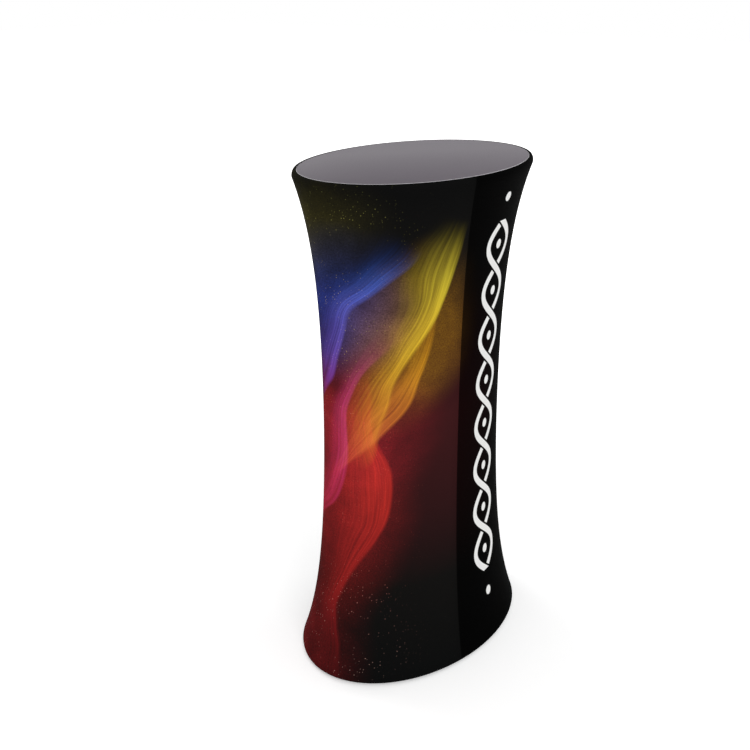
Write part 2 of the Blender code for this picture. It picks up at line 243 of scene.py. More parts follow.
def addNode(tree, kind, *inputs, at=None, out=0, stops=None, **settings):
    # adds a node and gives back one output or a tuple of them; a keyword with a capital goes to
    # the input of that name, and any other is a setting of the node
    made = tree.nodes.new("ShaderNode" + kind)
    fed = dict(zip(at or range(len(inputs)), inputs))
    for name, value in settings.items():
        if name[0].isupper():
            fed[name] = value
        else:
            setattr(made, name, value)
    feed(made, fed)
    if stops:
        ramp = made.color_ramp
        ramp.elements[0].position, ramp.elements[1].position = stops[0][0], stops[-1][0]
        for place, _ in stops[1:-1]:
            ramp.elements.new(place)
        for element, (_, colour) in zip(ramp.elements, stops):
            element.color = toLinear(colour)
    return tuple(made.outputs[n] for n in out) if isinstance(out, tuple) else made.outputs[out]


def startMaterial(name):
    material = bpy.data.materials.new(name)
    material.use_nodes = True
    tree = material.node_tree
    return material, partial(addNode, tree), tree.nodes["Principled BSDF"]


# The overall form, as in the model
form = {
    "rimHalfLength": 0.300,
    "rimHalfDepth": 0.2015,
    "waistDrop": 0.054,
    "flareLength": 0.166,
    "lowEdge": 0.0124,
    "highEdge": 1.014,
    "crest": 1.025,
    "rollEdge": 1.0237,
    "heelRadius": 0.0112,
    "hemLift": 0.0012,
    "hemWidth": 0.020,
    "topHem": 1.0197,
    "endInset": 0.011,
    "sideInset": 0.008,
    "plateMargin": 0.004,
    "plateBevel": 0.004,
}
waistHeight = (form["lowEdge"] + form["highEdge"]) / 2
waistHalfLength = form["rimHalfLength"] - form["waistDrop"]


def fabricSize(z):
    # half length and half depth of the stretched fabric: a chain curve between the boards
    reach = form["flareLength"]
    atEnd = math.cosh((form["highEdge"] - form["lowEdge"]) / 2 / reach)
    drop = form["waistDrop"] * (atEnd - math.cosh((z - waistHeight) / reach)) / (atEnd - 1)
    return form["rimHalfLength"] - drop, form["rimHalfDepth"] - drop


# Camera at the photograph's angle
camera = {
    "azimuth": -57.2657,
    "elevation": 21.6684,
    "distanceInHeights": 2.3015,
    "pan": 2.1392,
    "tilt": 20.2181,
    "focalPixels": 1116.7433,
    "imagePixels": 750,
    "sensorWidth": 36,
}


def makeCamera():
    def outward(around, up):
        around, up = math.radians(around), math.radians(up)
        flat = math.cos(up)
        return Vector((math.sin(around) * flat, -math.cos(around) * flat, math.sin(up)))

    data = bpy.data.cameras.new("photoCamera")
    data.sensor_width = camera["sensorWidth"]
    data.lens = camera["focalPixels"] / camera["imagePixels"] * camera["sensorWidth"]
    data.clip_start, data.clip_end = 0.05, 60
    made = bpy.data.objects.new("photoCamera", data)
    out, tall = outward(camera["azimuth"], camera["elevation"]), form["crest"]
    made.location = Vector((0, 0, tall / 2)) + out * camera["distanceInHeights"] * tall
    back = outward(camera["azimuth"] + camera["pan"], camera["tilt"])
    made.rotation_euler = (-back).to_track_quat("-Z", "Y").to_euler()
    bpy.context.scene.collection.objects.link(made)
    bpy.context.scene.camera = made


makeCamera()
print("camera placed")


# Printed knit
# Glows and flowing ribbons of dyed colour on a dark field. Places and lengths are in metres on
# the cover: across from the front's middle, and up from the floor. A range is
# (from least, from most, to least, to most).
printed = {
    "halfWay": 0.66,  # across, to the back seam
    "field": [
        (0.0, "#0E0F0F"), (0.20, "#151413"), (0.35, "#301819"), (0.55, "#401B1D"),
        (0.70, "#2E1617"), (0.85, "#161514"), (1.0, "#0F0F0F"),
    ],
    "fieldSides": [
        (0.08, "#000000"), (0.24, "#FFFFFF"), (0.44, "#FFFFFF"), (0.60, "#303030"),
        (0.72, "#000000"),
    ],
    "drift": {"Scale": 1 / 0.22, "Detail": 1.5, "Roughness": 0.45},
    "driftReach": 0.10,
    "mist": {"Scale": 9.0, "Detail": 6, "Roughness": 0.6},
    "mistRange": (0.3, 0.7, 0.30, 1.1),
    "powder": {"Scale": 1 / 0.0032, "Detail": 2, "Roughness": 0.7},
    "powderRange": (0.32, 0.68, 0.55, 1.35),
    # place, half size, turn in degrees, colour, strength
    "glows": [
        ((-0.370, 0.400), (0.220, 0.330), 6, "#9C1A1B", 1.0),
        ((-0.410, 0.050), (0.200, 0.230), -8, "#7C1618", 0.75),
        ((-0.290, 0.540), (0.220, 0.190), 30, "#A31B26", 0.8),
        ((-0.340, 0.790), (0.200, 0.170), 30, "#1C3484", 1.0),
        ((-0.170, 0.730), (0.170, 0.210), -20, "#97690E", 0.9),
        ((-0.400, 0.930), (0.210, 0.150), 20, "#5A5320", 0.45),
    ],
    # place, turn in degrees, reach to each side, sway, length and phase of a wave, width of the
    # trailing side, colours from low to high, strength
    "ribbons": [
        ((-0.255, 0.330), 84, 0.36, 0.030, 0.52, 0.4, 0.17, "#8E1418", "#E0301E", 0.95),
        ((-0.330, 0.450), 66, 0.34, 0.026, 0.45, 2.0, 0.12, "#A01822", "#D83A8C", 0.9),
        ((-0.225, 0.560), 58, 0.26, 0.024, 0.38, 0.9, 0.10, "#C42430", "#F0A018", 1.0),
        ((-0.290, 0.735), 52, 0.22, 0.022, 0.36, 3.6, 0.15, "#7A3AA8", "#2F66D8", 1.0),
        ((-0.165, 0.700), 64, 0.26, 0.020, 0.33, 5.2, 0.14, "#E08A10", "#F2DC3C", 1.0),
    ],
    "edgeWidth": 0.010,
    "narrowest": 0.45,
    "trailPower": 1.6,
    "fullReach": 0.35,
    "tintReach": 0.6,
    "fibre": {"Scale": 1.0, "Detail": 3, "Roughness": 0.55},
    "fibreRange": (0.3, 0.68, 0.30, 1.0),
    "fibreSize": 0.006,
    "fibreLength": 0.20,
    "fibreShift": 3.7,  # a different part of the noise for each ribbon
    "grainSize": 0.0046,
    "grainRange": (0.25, 1.0, 0.0, 0.26),
    "grainEdge": 0.05,
    "grainSide": (-0.13, -0.34, 0.0, 1.0),
    "grainCloud": (0.43, 0.60, 0.03, 0.8),
    "grains": [
        (0.0, "#C9A79A"), (0.3, "#B8483E"), (0.55, "#C8705A"), (0.75, "#B9A23A"),
        (1.0, "#8A8A4A"),
    ],
    "black": [
        (0.0, "#1F1F20"), (0.10, "#1B1B1C"), (0.17, "#020202"), (0.655, "#020202"),
        (0.73, "#1B1B1C"), (1.0, "#1F1F20"),
    ],
    "bandEdge": -0.0585,
    "bandSharp": 0.0006,
    "bandShade": 0.14,
    "borderMiddle": 0.0475,
    "borderLow": 0.152,
    "halfPeriod": 0.096,
    "borderCount": 8,
    "borderReach": 0.0395,
    "strokeHalf": 0.0070,
    "gapHalf": 0.0115,
    "dotRadius": 0.0095,
    "lineSharp": 0.0004,
    "endSpill": 0.004,  # this and the next are shares of a half period
    "dotSpill": 0.75,
    "white": "#F6F6F4",
    "knitPitch": 0.0022,
    "knitBends": {"X": 0.6, "Y": 1.2},
    # how much the knit's hollows are painted darker and its loop tops painted lighter, as painted
    # shade and highlight
    "knitHollowShade": (0.0, 1.0, 0.92, 1.06),
}


def makePrintedKnit():
    # Dye-printed polyester jersey, heat set: the ink lies in the yarn, so the surface stays matt
    # and deep, with a fine knit relief and almost no shine
    material, node, shader = startMaterial("dyePrintedJersey")
    # the sockets of a Mix node that take its factor and two colours, and the one that gives one
    mix = {"at": (0, 6, 7), "out": 2, "data_type": "RGBA"}
    soft = {"interpolation_type": "SMOOTHSTEP"}
    laid = node("UVMap", uv_map="printMap")
    across, up = node("SeparateXYZ", laid, out=(0, 1))

    # Field colour by height, fading to black to the right and round the back
    way = node("MapRange", across, -printed["halfWay"], printed["halfWay"])
    sides = node("ValToRGB", way, stops=printed["fieldSides"])
    field = node("ValToRGB", up, stops=printed["field"])
    colour = node("Mix", 1.0, field, sides, **mix, blend_type="MULTIPLY")

    # Slow noise that carries every shape of the print a little out of its place
    drift = node("TexNoise", laid, **printed["drift"], out="Color")
    drift = node("VectorMath", drift, (0.5, 0.5, 0.5), operation="SUBTRACT")
    carry = (printed["driftReach"], printed["driftReach"], 0)
    moved = node("VectorMath", drift, carry, laid, operation="MULTIPLY_ADD")

    # Thin and thick places, and powdery grain that is drawn 3 mm across so that it shows
    mist = node("TexNoise", moved, **printed["mist"])
    powder = node("TexNoise", laid, **printed["powder"])
    thin = node("MapRange", mist, *printed["mistRange"])
    dry = node("MapRange", powder, *printed["powderRange"])
    thin = node("Math", thin, dry, operation="MULTIPLY")
    for place, half, turn, tint, power in printed["glows"]:
        placed = node(
            "Mapping", moved, (*place, 0), (0, 0, math.radians(turn)), (*half, 1),
            vector_type="TEXTURE",
        )
        glow = node("TexGradient", placed, out=1, gradient_type="SPHERICAL")
        glow = node("MapRange", glow, 0, 1, 0, power, **soft)
        glow = node("Math", glow, thin, operation="MULTIPLY")
        colour = node("Mix", glow, colour, toLinear(tint), **mix, blend_type="SCREEN")

    # Ribbons: each sways along its own line, bright at one edge and trailing off in fine fibres
    for index, ribbon in enumerate(printed["ribbons"]):
        place, turn, reach, sway, beat, phase, tail, low, high, power = ribbon
        placed = node(
            "Mapping", moved, (*place, 0), (0, 0, math.radians(turn)), vector_type="TEXTURE"
        )
        along, beside = node("SeparateXYZ", placed, out=(0, 1))
        swing = node("Math", along, 2 * math.pi / beat, phase, operation="MULTIPLY_ADD")
        swing = node("Math", swing, operation="SINE")
        behind = node("Math", swing, sway, beside, operation="MULTIPLY_ADD")
        width = node("MapRange", swing, -1, 1, tail * printed["narrowest"], tail)
        share = node("Math", behind, width, operation="DIVIDE")
        trail = node("MapRange", share, 0, 1, 1, 0, **soft)
        strand = node(
            "CombineXYZ",
            node("Math", along, 1 / printed["fibreLength"], operation="MULTIPLY"),
            node("Math", share, tail / printed["fibreSize"], operation="MULTIPLY"),
            printed["fibreShift"] * index,
        )
        fibres = node("TexNoise", strand, **printed["fibre"])
        span = node("Math", along, operation="ABSOLUTE")
        strength = node("MapRange", behind, 0, printed["edgeWidth"], **soft)
        for factor in (
            node("Math", trail, printed["trailPower"], operation="POWER"),
            node("MapRange", span, reach * printed["fullReach"], reach, power, 0, **soft),
            node("MapRange", fibres, *printed["fibreRange"]),
        ):
            strength = node("Math", strength, factor, operation="MULTIPLY")
        shown = reach * printed["tintReach"]
        shade = node("MapRange", along, -shown, shown)
        tint = node("ValToRGB", shade, stops=[(0, low), (1, high)])
        colour = node("Mix", strength, colour, tint, **mix, blend_type="SCREEN")

    # Fine bright grains, thicker to the left, drawn up to 2.4 mm across so that they show
    distance, chosen = node(
        "TexVoronoi", laid, Scale=1 / printed["grainSize"], out=("Distance", "Color")
    )
    size = node("MapRange", node("SeparateXYZ", chosen), *printed["grainRange"])
    short = node("Math", size, distance, operation="SUBTRACT")
    grain = node("MapRange", short, 0, printed["grainEdge"])
    for factor in (
        node("MapRange", mist, *printed["grainCloud"]),
        node("MapRange", across, *printed["grainSide"]),
    ):
        grain = node("Math", grain, factor, operation="MULTIPLY")
    tint = node("ValToRGB", up, stops=printed["grains"])
    colour = node("Mix", grain, colour, tint, **mix, blend_type="SCREEN")

    # Dark band with a crisp edge, from the border's left side on round. Black ink is never quite
    # black, and it is greyest round the back, where less of it is laid.
    edge, sharp = printed["bandEdge"], printed["bandSharp"]
    band = node("MapRange", across, edge - sharp, edge + sharp, 1, printed["bandShade"])
    colour = node("VectorMath", colour, Scale=band, operation="SCALE")
    least = node("ValToRGB", way, stops=printed["black"])
    colour = node("Mix", 1.0, colour, least, **mix, blend_type="LIGHTEN")

    # White twist border: two crossing waves, each over the other in turn, a dot in each eye and
    # one past each end
    period, swell, sharp = printed["halfPeriod"], printed["borderReach"], printed["lineSharp"]
    wave = math.pi / period
    lifted = node("Math", up, printed["borderLow"], operation="SUBTRACT")
    aside = node("Math", across, printed["borderMiddle"], operation="SUBTRACT")
    angle = node("Math", lifted, wave, operation="MULTIPLY")
    sine = node("Math", angle, operation="SINE")
    cosine = node("Math", angle, operation="COSINE")
    slope = node("Math", cosine, wave * swell, operation="MULTIPLY")
    steep = node("Math", slope, slope, 1.0, operation="MULTIPLY_ADD")
    narrow = node("Math", steep, -0.5, operation="POWER")
    strokes, gaps = [], []
    for side in (swell, -swell):
        away = node("Math", sine, side, aside, operation="MULTIPLY_ADD")
        away = node("Math", away, operation="ABSOLUTE")
        square = node("Math", away, narrow, operation="MULTIPLY")
        for half, group in ((printed["strokeHalf"], strokes), (printed["gapHalf"], gaps)):
            group.append(node("MapRange", square, half - sharp, half + sharp, 1, 0))
    over = node("Math", cosine, 0.0, operation="GREATER_THAN")
    under = node("Math", 1.0, over, operation="SUBTRACT")
    halves = []
    for index, top in enumerate((over, under)):
        hidden = node("Math", gaps[index], top, operation="MULTIPLY")
        clear = node("Math", 1.0, hidden, operation="SUBTRACT")
        halves.append(node("Math", strokes[1 - index], clear, operation="MULTIPLY"))
    twist = node("Math", *halves, operation="MAXIMUM")
    eyes = node("Math", lifted, 1 / period, operation="MULTIPLY")
    fromEye = node("Math", eyes, operation="FRACT")
    fromEye = node("Math", fromEye, period, -period / 2, operation="MULTIPLY_ADD")
    reach = node("CombineXYZ", aside, fromEye)
    reach = node("VectorMath", reach, out="Value", operation="LENGTH")
    radius, middle = printed["dotRadius"], printed["borderCount"] / 2
    dot = node("MapRange", reach, radius - sharp, radius + sharp, 1, 0)
    parts = []
    for part, spill in ((twist, printed["endSpill"]), (dot, printed["dotSpill"])):
        within = node("Math", eyes, middle, middle + spill, operation="COMPARE")
        parts.append(node("Math", part, within, operation="MULTIPLY"))
    border = node("Math", *parts, operation="MAXIMUM")
    colour = node("Mix", border, colour, toLinear(printed["white"]), **mix)

    # Knit: wales across and courses up, 2.2 mm instead of the real 0.6 mm so that they show. A
    # wave node turns by 20 radians in a metre at scale 1, hence the 0.05.
    scale = 0.05 * 2 * math.pi / printed["knitPitch"]
    threads = [
        node(
            "TexWave", laid, Scale=scale, Distortion=bend, Detail=1, bands_direction=direction,
            out=1,
        )
        for direction, bend in printed["knitBends"].items()
    ]
    loops = node("Math", *threads, operation="MULTIPLY")
    # the colour is darkened in the knit's hollows and lightened on its loop tops, following the
    # bump: painted shade and highlight
    paintedKnitShade = node("MapRange", loops, *printed["knitHollowShade"])
    feed(shader, {
        "Base Color": node("VectorMath", colour, Scale=paintedKnitShade, operation="SCALE"),
        "Normal": node("Bump", Height=loops, Strength=0.12, Distance=0.0004),
        "Roughness": 0.9,
        "Specular IOR Level": 0.012,
    })
    return material


# Plain finishes: a colour pair mixed by a grain of real size
def makeFinish(
    name, dark, light, grain, smooth, rough, relief=0.2, metal=0, stretch=(1, 1, 1), shine=0.5
):
    material, node, shader = startMaterial(name)
    place = node("Mapping", node("TexCoord", out="Object"), Scale=stretch)
    noise = node("TexNoise", place, Scale=1000 / grain, Detail=4, Roughness=0.6)
    feed(shader, {
        "Base Color": node("ValToRGB", noise, stops=[(0.3, dark), (0.7, light)]),
        "Roughness": node("MapRange", noise, 0.3, 0.7, smooth, rough),
        "Normal": node("Bump", Height=noise, Strength=relief, Distance=grain / 4000),
        "Metallic": metal,
        "Specular IOR Level": shine,
    })
    return material


# dark and light colour, grain in mm, least and most roughness, relief, metal, stretch, shine
finishes = {
    # High pressure laminate, suede finish: a fine stipple spreads the light to a soft satin
    "satinLaminate": ("#443B46", "#4B424D", 2.5, 0.42, 0.52, 0.1, 0, (1, 1, 1), 0.35),
    # Planed laminate edge, painted pale as a thin highlight line along the lit arris
    "laminateEdge": ("#C3C0C4", "#D6D3D7", 4, 0.4, 0.6),
    # Balancing sheet under the plate: unprinted brown paper in resin
    "backingSheet": ("#2B211B", "#3A2D25", 6, 0.5, 0.65),
    # Melamine faced particle board, pressed with a fine pearl grain
    "blackMelamine": ("#1B1B1C", "#232324", 1.6, 0.45, 0.6, 0.25),
    "greyMelamine": ("#777779", "#828284", 1.6, 0.4, 0.55, 0.25),
    # Polymer edging band, thermofused: smoother and a little darker than the board's face
    "shelfEdging": ("#5E5E60", "#68686A", 3, 0.3, 0.42, 0.1),
    # Turned beech: pale pinkish brown, with short flecks along the grain
    "turnedBeech": ("#B98A5C", "#D2A87C", 1.6, 0.5, 0.65, 0.2, 0, (1, 1, 0.18)),
    # Extruded tube, etched and anodised: drawn lines run along it under a satin skin
    "anodisedAluminium": ("#B9BBBE", "#CBCDD0", 1.2, 0.28, 0.4, 0.1, 1, (1, 1, 0.02)),
    "millAluminium": ("#C6C7C9", "#D9DADB", 1.2, 0.3, 0.46, 0.15, 1, (1, 1, 0.03)),
    # Glass filled nylon, moulded in a spark eroded tool: black with an even fine orange peel
    "mouldedNylon": ("#1A1A1B", "#222223", 0.9, 0.42, 0.58, 0.3),
    # Zinc plated and passivated steel: bluish white with a faint mottle
    "zincPlate": ("#C2C4C4", "#D6D8D8", 1.4, 0.25, 0.4, 0.1, 1),
    # Bright nickel over polished steel: warm white, close to a mirror
    "nickelPlate": ("#C9C5BD", "#D8D4CC", 2, 0.16, 0.26, 0.05, 1),
    # Blued spring strip: grey blue with rolling lines
    "springSteel": ("#6F737B", "#868B93", 1, 0.3, 0.42, 0.1, 1, (0.05, 1, 1)),
    # Moulded rubber: dull black, slightly dusty
    "mouldedRubber": ("#171717", "#222221", 2, 0.75, 0.9, 0.3),
    # Hook tape: stiff nylon hooks in rows, seen as a coarse dark pile
    "hookTape": ("#0C0C0C", "#2A2A2A", 1.2, 0.6, 0.9, 0.9),
    # Woven polyester zip tape: ribs along it, matt
    "wovenTape": ("#0B0B0C", "#1B1B1D", 1.1, 0.75, 0.9, 0.6, 0, (1, 1, 0.12), 0.15),
    # Moulded acetal teeth: smooth and slightly waxy
    "mouldedTeeth": ("#161617", "#202022", 3, 0.28, 0.4, 0.05),
    # Cast zinc with a dark electroplated skin: deep grey metal, rubbed lighter in places
    "gunmetalPlate": ("#4A4B4F", "#6A6B70", 3, 0.22, 0.4, 0.08, 1),
    # Twisted polyester thread, black, with a slight lustre
    "blackThread": ("#0E0E0F", "#26262A", 0.5, 0.5, 0.7, 0.4),
    # Back of the jersey: undyed polyester with a little of the print struck through
    "knitReverse": ("#B9B6B4", "#D0CDCA", 1.6, 0.85, 0.95, 0.4, 0, (1, 1, 1), 0.1),
}
materials = {name: makeFinish(name, *look) for name, look in finishes.items()}
materials["dyePrintedJersey"] = makePrintedKnit()
print("finishes made")


# Cover
cover = {
    "columns": 192,
    "wallRows": (16, 26, 16),
    "heelSteps": 7,
    "shoulderSteps": 10,
    "thickness": 0.0012,
    "slotLow": 0.2432,
    "slotHigh": 0.7832,
    "slotHalf": 0.0052,
    "seamHalf": 0.0010,
    "seamDip": 0.0007,
    "printStill": 0.124,  # the line across that the waist doesn't move
    "flatSize": (1.50, 1.09),
}


def coverRows(offset):
    # (half length, half depth, height, print height) from the lower hem's edge to the upper's
    heel, low, high = form["heelRadius"], form["lowEdge"], form["highEdge"]
    length, depth, crest = form["rimHalfLength"], form["rimHalfDepth"], form["crest"]
    hem, margin = form["hemWidth"], form["plateMargin"]
    endInset, sideInset = form["endInset"], form["sideInset"]
    inset = heel + hem
    rows = [
        (length - inset, depth - inset, form["hemLift"] + offset, low - heel * quarterTurn - hem)
    ]
    for step in range(cover["heelSteps"] + 1):
        turn = quarterTurn * (1 - step / cover["heelSteps"])
        inset = heel - (heel - offset) * math.cos(turn)
        z = low - (heel - offset) * math.sin(turn)
        rows.append((length - inset, depth - inset, z, low - heel * turn))
    marks = (low, cover["slotLow"], cover["slotHigh"], high)
    for start, end, count in zip(marks, marks[1:], cover["wallRows"]):
        for step in range(1, count + 1):
            z = start + (end - start) * step / count
            wide, deep = fabricSize(z)
            rows.append((wide - offset, deep - offset, z, z))
    for step in range(1, cover["shoulderSteps"] + 1):
        turn = quarterTurn * step / cover["shoulderSteps"]
        out = math.cos(turn)
        rows.append((
            length - endInset + margin + (endInset - margin - offset) * out,
            depth - sideInset + margin + (sideInset - margin - offset) * out,
            high + (crest - high - offset) * math.sin(turn),
            high + (crest - high) * turn,
        ))
    # the roll falls away to the plate's edge, and the hem lies flat under the plate
    up = rows[-1][3] + margin
    fall = crest - form["rollEdge"]
    ends = [(-margin * (1 - share), crest - fall * share ** 2) for share in (0.25, 0.5, 0.75, 1)]
    ends += [(form["plateBevel"] + run, form["topHem"]) for run in (0, hem)]
    for run, z in ends:
        rows.append((length - endInset - run, depth - sideInset - run, z - offset, up + run))
    return rows


def coverColumns():
    # angle and, beside the back seam, a fixed distance across; the first column is the seam
    step = 2 * math.pi / cover["columns"]
    slot, seam = cover["slotHalf"], cover["seamHalf"]
    columns = [(quarterTurn, 0.0), (quarterTurn, -seam), (quarterTurn, -slot)]
    columns += [(quarterTurn + step * n, None) for n in range(2, cover["columns"] - 1)]
    return columns + [(quarterTurn, slot), (quarterTurn, seam)]


def makeCover():
    columns = coverColumns()
    count = len(columns)
    gap = (count - 2, count - 1, 0, 1)
    shape = bmesh.new()
    printMap = shape.loops.layers.uv.new("printMap")
    walls, places = [], []
    for offset in (0, cover["thickness"]):
        grid, flat = [], []
        for wide, deep, z, up in coverRows(offset):
            onWall = form["lowEdge"] <= z <= form["highEdge"]
            inSlot = cover["slotLow"] + hair < z < cover["slotHigh"] - hair
            points = []
            for index, (angle, fixed) in enumerate(columns):
                if fixed is None:
                    points.append(Vector((wide * math.cos(angle), deep * math.sin(angle), z)))
                else:
                    dip = cover["seamDip"] if index == 0 and onWall else 0
                    y = deep * math.sqrt(1 - (fixed / wide) ** 2) - dip
                    points.append(Vector((fixed, y, z)))
            run = [0.0]
            for first, second in zip(points, points[1:] + points[:1]):
                run.append(run[-1] + (second - first).length)
            narrow, still = waistHalfLength / (wide + offset), cover["printStill"]
            flat.append([(still + (d - run[-1] / 2 - still) * narrow, up) for d in run])
            grid.append([
                None if inSlot and index in (0, 1, count - 1) else shape.verts.new(point)
                for index, point in enumerate(points)
            ])
        walls.append(grid)
        places.append(flat)

    def addFace(marks, material=0):
        # each mark is (wall, row, column); the column may be one past the last
        face = shape.faces.new([walls[w][r][c % count] for w, r, c in marks])
        face.material_index = material
        for loop, (_, r, c) in zip(face.loops, marks):
            loop[printMap].uv = places[0][r][c]

    def addStrip(first, second, along, material=0):
        # faces between two rows, each (wall, row)
        for c in along:
            addFace([(*first, c), (*first, c + 1), (*second, c + 1), (*second, c)], material)

    last = len(walls[0]) - 1
    lowRow = next(r for r, row in enumerate(coverRows(0)) if abs(row[2] - cover["slotLow"]) < hair)
    highRow = lowRow + cover["wallRows"][1]
    for r in range(last):
        along = [c for c in range(count) if not (c in gap and lowRow <= r < highRow)]
        addStrip((0, r), (0, r + 1), along)
        addStrip((1, r + 1), (1, r), along, 1)
    addStrip((1, 0), (0, 0), range(count))
    addStrip((0, last), (1, last), range(count))
    addStrip((0, lowRow), (1, lowRow), gap)
    addStrip((1, highRow), (0, highRow), gap)
    for r in range(lowRow, highRow):
        for c, near, far in ((2, 0, 1), (count - 2, 1, 0)):
            addFace([(near, r, c), (near, r + 1, c), (far, r + 1, c), (far, r, c)])
    return finishPiece(
        asPiece(shape, "cover"), "printed_cover", "frame",
        "dyePrintedJersey knitReverse", ["fabric_cover"], 40,
    )


# Seams
seams = {
    "pitch": 0.0042,
    "length": 0.0028,
    "thread": 0.00035,
    "tip": (0.4, 0.5),  # inset and depth at the ends, and the bow, as shares of the thread
    "bow": 0.7,
    "besideSlot": 0.0032,
    "besideSeam": 0.0042,
    "clear": 0.004,
    "tackHalf": 0.0065,
    "tackCount": 14,
    "hemInset": 0.0195,
    "hemSteps": 2400,
}


def makeStitch():
    # one lockstitch: a short run of thread that dives into the cloth at both ends
    thread, length = seams["thread"], seams["length"]
    stitch = addCylinder(thread, -length / 2, length / 2, 6)
    insetFaces(
        stitch, lambda face: abs(face.normal.z) > 0.9, [thread * share for share in seams["tip"]]
    )
    pick(stitch, "EDGE", running(2, length / 2))
    bpy.ops.mesh.subdivide(number_cuts=1)
    pick(stitch, "VERT", lambda vert: abs(vert.co.z) < length / 4)
    bpy.ops.transform.translate(value=(0, thread * seams["bow"], 0))
    deselectAll()
    return stitch


def seat(point, along, outward):
    # a place whose own Z runs along the row and whose own Y points out of the cloth
    z = along.normalized()
    x = outward.cross(z).normalized()
    return Matrix.Translation(point) @ Matrix((x, z.cross(x), z)).transposed().to_4x4()


def wallPoint(x, z):
    wide, deep = fabricSize(z)
    return Vector((x, deep * math.sqrt(1 - (x / wide) ** 2), z))


def wallSeat(x, z, proud=0):
    # a place on the back of the cover, leaning with the cloth
    step = 0.001
    along = wallPoint(x, z + step) - wallPoint(x, z - step)
    outward = along.cross(wallPoint(x + step, z) - wallPoint(x - step, z)).normalized()
    return seat(wallPoint(x, z) + outward * proud, along, outward)


def wallRow(x, low, high):
    count = int((high - low) / seams["pitch"])
    return [wallSeat(x, low + (n + 0.5) * (high - low) / count) for n in range(count)]


def barRow(z):
    # a dense bar tack across the end of the slot
    half, count = seams["tackHalf"], seams["tackCount"]
    return [wallSeat(half * (2 * (n + 0.5) / count - 1), z) for n in range(count)]


def hemRow():
    # round the upper hem, on its flat face
    length = form["rimHalfLength"] - form["endInset"] - seams["hemInset"]
    depth = form["rimHalfDepth"] - form["sideInset"] - seams["hemInset"]
    turns = [2 * math.pi * n / seams["hemSteps"] for n in range(seams["hemSteps"] + 1)]
    points = [Vector((length * math.cos(t), depth * math.sin(t), form["topHem"])) for t in turns]
    run = [0.0]
    for first, second in zip(points, points[1:]):
        run.append(run[-1] + (second - first).length)
    count = int(run[-1] / seams["pitch"])
    places, at = [], 0
    for index in range(count):
        while run[at + 1] < run[-1] * index / count:
            at += 1
        places.append(seat(points[at], points[at + 1] - points[at], Vector((0, 0, 1))))
    return places


def makeSeams():
    stitch = makeStitch()
    low, high, clear = cover["slotLow"], cover["slotHigh"], seams["clear"]
    slot, seam = cover["slotHalf"] + seams["besideSlot"], seams["besideSeam"]
    upper = (high + 2 * clear, form["highEdge"] - clear)
    lower = (form["lowEdge"] + clear, low - 2 * clear)
    rows = {
        "slot_stitches_left": wallRow(-slot, low - clear, high + clear),
        "slot_stitches_right": wallRow(slot, low - clear, high + clear),
        "seam_stitches_upper": wallRow(seam, *upper) + wallRow(-seam, *upper),
        "seam_stitches_lower": wallRow(seam, *lower) + wallRow(-seam, *lower),
        "bar_tack_upper": barRow(high + clear),
        "bar_tack_lower": barRow(low - clear),
        "hem_stitches_upper": hemRow(),
    }
    made = [
        finishPiece(copiesOf(stitch, places), name, "frame", "blackThread")
        for name, places in rows.items()
    ]
    bpy.data.objects.remove(stitch)
    return made


coverPiece = makeCover()
stitchPieces = makeSeams()
print("cover and its stitching made")


# Tabletop
# the second value is how far down the plate's edge the painted highlight reaches
plate = {"arris": 0.0004, "highlightFrom": 0.0012}


def makePlate():
    low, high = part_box("tabletop")
    piece = addOval([(high.x, high.y, low.z), (high.x, high.y, high.z)])
    bevelEdges(piece, rimAt(low.z), form["plateBevel"], 1)
    bevelEdges(piece, rimAt(high.z), plate["arris"], 2)
    finishPiece(
        piece, "laminate_plate", "tabletop",
        "satinLaminate laminateEdge backingSheet", ["tabletop"], 35,
    )
    # the arris and the top of the edge get the painted highlight; the rest of the edge and the
    # underside get the backing sheet
    for face in piece.data.polygons:
        if face.normal.z < 0.99:
            face.material_index = 1 if face.center.z > high.z - plate["highlightFrom"] else 2


makePlate()
print("tabletop made")


# Zip down the back
zipper = {
    "seamGap": 0.0002,
    "tapeWidth": 0.016,
    "tapeThickness": 0.0008,
    "tapeOverlap": 0.006,
    "tapeDepth": 0.0015,
    "tapeSteps": 60,
    "tapeShares": (0, 0.08, 0.16, 0.3, 0.5, 0.7, 0.85, 1),
    "cordShare": 0.1,
    "cordRise": 0.0002,
    "toothPitch": 0.0027,
    "toothWidth": 0.0030,
    "toothRoot": 0.0004,
    "toothHead": 0.0007,
    "toothDeep": 0.0019,
    "toothTall": 0.36,
    "headShapes": ((0.96, 1.45), (0.82, 0.62)),
    "toothPanel": (0.0002, -0.00008),  # inset and depth
    "toothSunk": 0.0012,
    "stopSize": (0.0052, 0.0020, 0.003),
    "stopRound": 0.0004,
    "stopPanel": (0.0005, -0.0002),
    "stopIn": 0.0018,
    "stopSunk": 0.0002,
    "clear": 0.0006,
}


def makeTape(side):
    # closed strip of cloth up the inside of the slot, with a corded edge under the teeth
    shape = bmesh.new()
    low, high = cover["slotLow"] - zipper["tapeOverlap"], cover["slotHigh"] + zipper["tapeOverlap"]
    rings = []
    for step in range(zipper["tapeSteps"] + 1):
        z = low + (high - low) * step / zipper["tapeSteps"]
        face, back = [], []
        for share in zipper["tapeShares"]:
            point = wallPoint(side * (zipper["seamGap"] + zipper["tapeWidth"] * share), z)
            point.y -= zipper["tapeDepth"]
            raised = zipper["cordRise"] if share < zipper["cordShare"] else 0
            face.append(shape.verts.new(point + Vector((0, raised, 0))))
            back.append(shape.verts.new(point - Vector((0, zipper["tapeThickness"], 0))))
        rings.append(face + back[::-1])
    for first, second in zip(rings, rings[1:]):
        for index in range(len(first)):
            after = (index + 1) % len(first)
            shape.faces.new((first[index], first[after], second[after], second[index]))
    shape.faces.new(rings[0])
    shape.faces.new(rings[-1])
    bmesh.ops.recalc_face_normals(shape, faces=shape.faces)
    return asPiece(shape, "tape")


